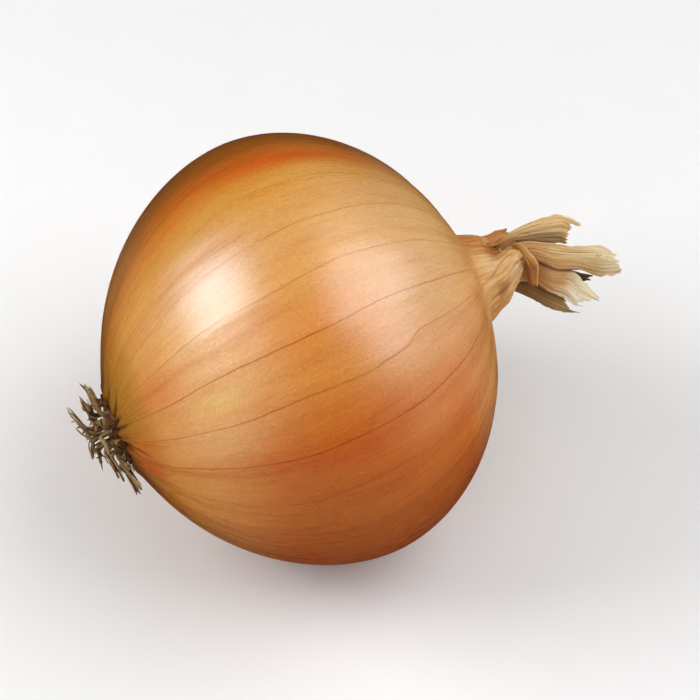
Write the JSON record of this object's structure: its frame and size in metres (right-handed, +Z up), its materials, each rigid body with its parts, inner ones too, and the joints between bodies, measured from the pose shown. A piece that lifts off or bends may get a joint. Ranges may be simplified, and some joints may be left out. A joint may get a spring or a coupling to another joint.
{
  "type": "onion",
  "caption": "Whole dry yellow onion lying on its side: round bulb in papery skin, corky root plate with dried roots, and a pinched neck with withered leaf bases.",
  "frame": {"origin": "middle of the small flat spot that the bulb rests on", "axes": "+X level, from the root end towards the neck; +Z up, away from the surface it rests on; +Y completes the right-handed set. The onion's own axis lies in the XZ plane and rises 9 degrees towards the neck."},
  "size_m": [0.1038, 0.08, 0.0787],
  "materials": {
    "skin": "satin papery skin with fine dark veins",
    "root_plate": "matte corky",
    "roots": "matte dry fibre",
    "neck_skin": "matte crumpled paper",
    "dry_leaf": "matte dry leaf with streaks"
  },
  "bodies": {
    "root": {"bulb": "skin", "root_plate": "root_plate", "root_01": "roots", "root_02": "roots", "root_03": "roots", "root_04": "roots", "root_05": "roots", "root_06": "roots", "root_07": "roots", "root_08": "roots", "root_09": "roots", "root_10": "roots", "root_11": "roots", "root_12": "roots", "root_13": "roots", "root_14": "roots", "root_15": "roots", "root_16": "roots", "root_17": "roots", "root_18": "roots", "root_19": "roots", "root_20": "roots", "root_21": "roots", "root_22": "roots", "root_23": "roots", "root_24": "roots", "root_25": "roots", "root_26": "roots", "root_27": "roots", "root_28": "roots", "root_29": "roots", "neck_flap": "neck_skin", "neck_fold": "neck_skin", "neck_crest": "neck_skin", "leaf_long": "dry_leaf", "leaf_upper": "dry_leaf", "leaf_pale": "dry_leaf", "leaf_lower": "dry_leaf", "leaf_back": "dry_leaf", "leaf_rear": "dry_leaf"}
  },
  "joints": []
}
